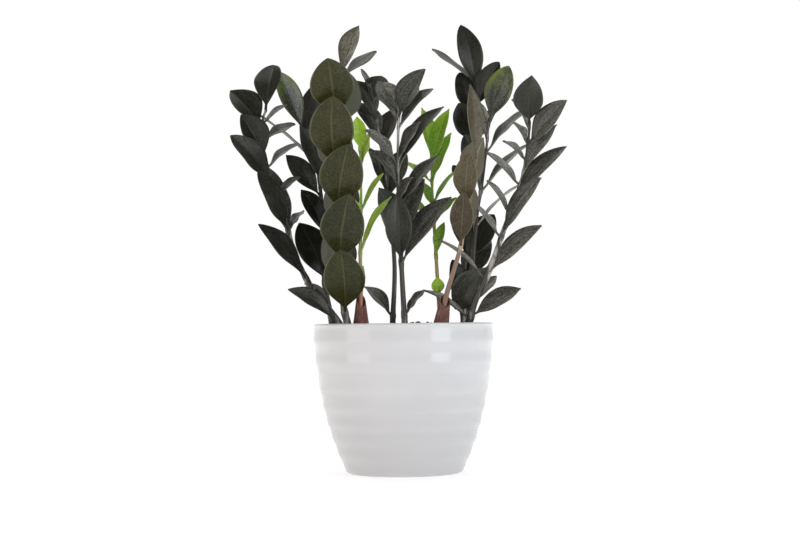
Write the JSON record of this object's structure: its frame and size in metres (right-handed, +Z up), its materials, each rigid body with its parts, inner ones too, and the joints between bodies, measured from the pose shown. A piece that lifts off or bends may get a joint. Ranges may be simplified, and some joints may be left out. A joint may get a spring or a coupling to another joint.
{
  "type": "potted zz plant",
  "caption": "Dark-leaved ZZ plant with upright fronds of pointed leaflets and green young shoots, growing in soil in a round white ribbed ceramic pot.",
  "frame": {"origin": "centre of the pot's flat underside", "axes": "+Z up along the plant, -Y towards the front, +X to the right as seen from the front"},
  "size_m": [0.2805, 0.1494, 0.383],
  "materials": {
    "glaze": "smooth glossy white glaze over shallow ribs",
    "soil": "dark, rough, crumbly potting soil",
    "rhizome": "dull light-brown rhizome skin",
    "stem": "smooth grey-brown stem, streaked lighter",
    "young_stem": "smooth pinkish-brown young stem",
    "dark_leaf": "glossy near-black green leaflet with a fine midrib",
    "brown_leaf": "satin olive-brown leaflet that is turning from green to dark",
    "young_leaf": "bright yellow-green young leaflet",
    "dry_sheath": "dry reddish-brown papery sheath"
  },
  "bodies": {
    "root": {"leaf_back_left_1": "dark_leaf", "leaf_back_left_2": "dark_leaf", "leaf_back_left_3": "dark_leaf", "leaf_back_left_4": "dark_leaf", "leaf_back_right_1": "dark_leaf", "leaf_back_right_2": "dark_leaf", "leaf_back_right_3": "dark_leaf", "leaf_back_right_4": "dark_leaf", "leaf_centre_1": "dark_leaf", "leaf_centre_2": "dark_leaf", "leaf_centre_3": "dark_leaf", "leaf_centre_4": "dark_leaf", "leaf_centre_5": "dark_leaf", "leaf_centre_6": "dark_leaf", "leaf_far_left_1": "dark_leaf", "leaf_far_left_2": "dark_leaf", "leaf_far_left_3": "dark_leaf", "leaf_far_left_4": "dark_leaf", "leaf_far_left_5": "dark_leaf", "leaf_far_left_6": "dark_leaf", "leaf_far_left_7": "dark_leaf", "leaf_far_right_1": "dark_leaf", "leaf_far_right_2": "dark_leaf", "leaf_far_right_3": "dark_leaf", "leaf_far_right_4": "dark_leaf", "leaf_far_right_5": "dark_leaf", "leaf_far_right_6": "dark_leaf", "leaf_far_right_7": "dark_leaf", "leaf_front_left_1": "dark_leaf", "leaf_front_left_2": "dark_leaf", "leaf_front_left_3": "dark_leaf", "leaf_front_left_4": "dark_leaf", "leaf_front_left_5": "dark_leaf", "leaf_front_left_6": "dark_leaf", "leaf_front_right_1": "brown_leaf", "leaf_front_right_2": "brown_leaf", "leaf_front_right_3": "brown_leaf", "leaf_left_shoot_1": "young_leaf", "leaf_mid_right_1": "dark_leaf", "leaf_right_shoot_1": "young_leaf", "leaf_right_shoot_2": "young_leaf", "pot": "glaze", "rhizome_left": "rhizome", "rhizome_middle": "rhizome", "rhizome_right": "rhizome", "sheath_front_right": "dry_sheath", "sheath_left_shoot": "dry_sheath", "soil": "soil", "stem_back_left": "stem", "stem_back_right": "stem", "stem_centre": "stem", "stem_centre_left": "stem", "stem_far_left": "stem", "stem_far_right": "stem", "stem_front_left": "stem", "stem_front_right": "stem", "stem_left_shoot": "young_stem", "stem_mid_right": "stem", "stem_right_shoot": "young_stem"}
  },
  "joints": []
}
